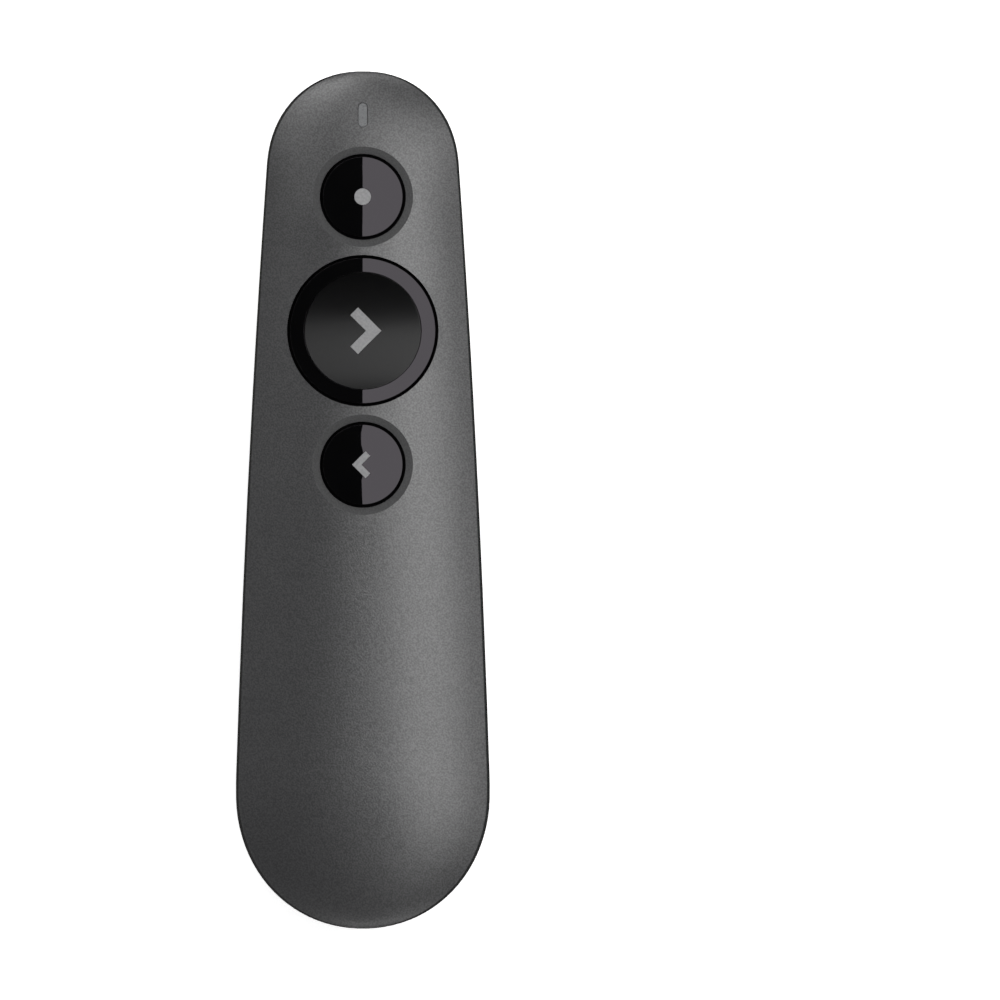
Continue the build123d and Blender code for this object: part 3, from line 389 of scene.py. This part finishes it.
def plane(name, x0, x1, y0, y1, z):
    mesh = bpy.data.meshes.new(name)
    mesh.from_pydata([(x0, y0, z), (x1, y0, z), (x1, y1, z), (x0, y1, z)], [], [(0, 1, 2, 3)])
    made = bpy.data.objects.new(name, mesh)
    scene.collection.objects.link(made)
    return made


def floor_paper():
    """White paper that keeps the part's shadow, and isn't there when seen from below."""
    g = Graph("floor_paper").set(base=FLOOR_PAPER, rough=0.9, gloss=0.0)
    rays = g.node("ShaderNodeLightPath")
    mirrored = g.math("MAXIMUM", rays.outputs["Is Glossy Ray"], rays.outputs["Is Transmission Ray"])
    seen = g.math("MAXIMUM", rays.outputs["Is Camera Ray"], mirrored)
    glow = g.node("ShaderNodeEmission")
    glow.inputs["Color"].default_value = (*FLOOR_GLOW, 1.0)
    g.link(seen, glow.inputs["Strength"])
    both = g.node("ShaderNodeAddShader")
    g.link(g.shader.outputs[0], both.inputs[0])
    g.link(glow.outputs[0], both.inputs[1])
    open_below = g.node("ShaderNodeMixShader")
    g.link(g.node("ShaderNodeNewGeometry").outputs["Backfacing"], open_below.inputs[0])
    g.link(both.outputs[0], open_below.inputs[1])
    g.link(g.node("ShaderNodeBsdfTransparent").outputs[0], open_below.inputs[2])
    g.link(open_below.outputs[0], g.tree.nodes["Material Output"].inputs["Surface"])
    return g.material


floor = plane("floor", -FLOOR_REACH, FLOOR_REACH, -FLOOR_REACH, FLOOR_REACH, FLOOR_Z)
floor.data.materials.append(floor_paper())

# ------------------------------------------------------------ light

LAMP_Z = 0.8                  # height of the key light
SPLIT_X = -0.0065             # where it begins, seen mirrored in the flat buttons
KEY_WIDE = 0.50
FLAGS_MEET_X = -0.27
FLAGS_TAIL_Y = -0.5
PART = (0.0, 0.0, 0.0)
AMBIENT = 0.2

# Black felt that the glossy buttons mirror. Columns: name, x0, x1, y0, y1, height.
FLAGS = [
    ("flag", FLAGS_MEET_X, SPLIT_X, FLAGS_TAIL_Y, 0.42, LAMP_Z),
    ("side_flag", -0.9, FLAGS_MEET_X, FLAGS_TAIL_Y, 0.1, LAMP_Z),
    ("tail_flag", SPLIT_X, 0.14, FLAGS_TAIL_Y, -0.006, LAMP_Z - 0.01),
]
# Softboxes. Columns: name, place, target (None is straight below), width, length, radiance.
LAMPS = [
    ("key", (SPLIT_X + KEY_WIDE / 2, 0.035, LAMP_Z), None, KEY_WIDE, 0.53, 4.05),
    ("left_high", (-0.52, 0.3, 0.78), None, 0.46, 0.36, 1.2),
    ("nose_left", (-0.35, 0.68, 0.78), None, 0.6, 0.5, 4.2),
    ("right_fill", (0.75, 0.3, 0.62), PART, 0.4, 0.8, 1.5),
    ("nose_box", (0.15, 1.0, 0.62), PART, 0.8, 0.5, 1.65),
    ("tail_box", (0.15, -0.85, 0.6), PART, 0.8, 0.4, 1.3),
    ("left_fill", (-0.9, -0.2, 0.3), PART, 0.5, 0.4, 0.6),
]


def softbox(name, place, target, width, length, radiance):
    """Rectangular lamp that looks from `place` to `target`."""
    lamp = bpy.data.lights.new(name, "AREA")
    lamp.shape = "RECTANGLE"
    lamp.size, lamp.size_y = width, length
    lamp.energy = radiance * math.pi * width * length
    made = bpy.data.objects.new(name, lamp)
    made.location = place
    made.rotation_mode = "QUATERNION"
    aim = Vector(target or (place[0], place[1], 0.0)) - Vector(place)
    made.rotation_quaternion = aim.to_track_quat("-Z", "Y")
    made.visible_camera = False
    scene.collection.objects.link(made)


felt = Graph("black_felt").set(base=BLACK, rough=1.0, gloss=0.0)
for row in FLAGS:
    flag = plane(*row)
    flag.data.materials.append(felt.material)
    flag.visible_camera = False

world = bpy.data.worlds.new("studio")
world.use_nodes = True
background = world.node_tree.nodes["Background"]
background.inputs["Color"].default_value = (*WHITE, 1.0)
background.inputs["Strength"].default_value = AMBIENT
scene.world = world

for row in LAMPS:
    softbox(*row)

# ------------------------------------------------------------ camera

FRAME_WIDE = 0.14461          # what the frame spans at the height of the sharp edge
CAMERA_X = 0.01983            # puts the part in the left half, as in the photograph

camera = bpy.data.cameras.new("camera")
camera.sensor_width = 36.0
camera.lens = 600.0
camera.clip_start, camera.clip_end = 0.1, 50.0
eye = bpy.data.objects.new("camera", camera)
eye.location = (CAMERA_X, 0.0, CREASE_Z + FRAME_WIDE * camera.lens / camera.sensor_width)
scene.collection.objects.link(eye)
scene.camera = eye
scene.view_settings.view_transform = "Standard"
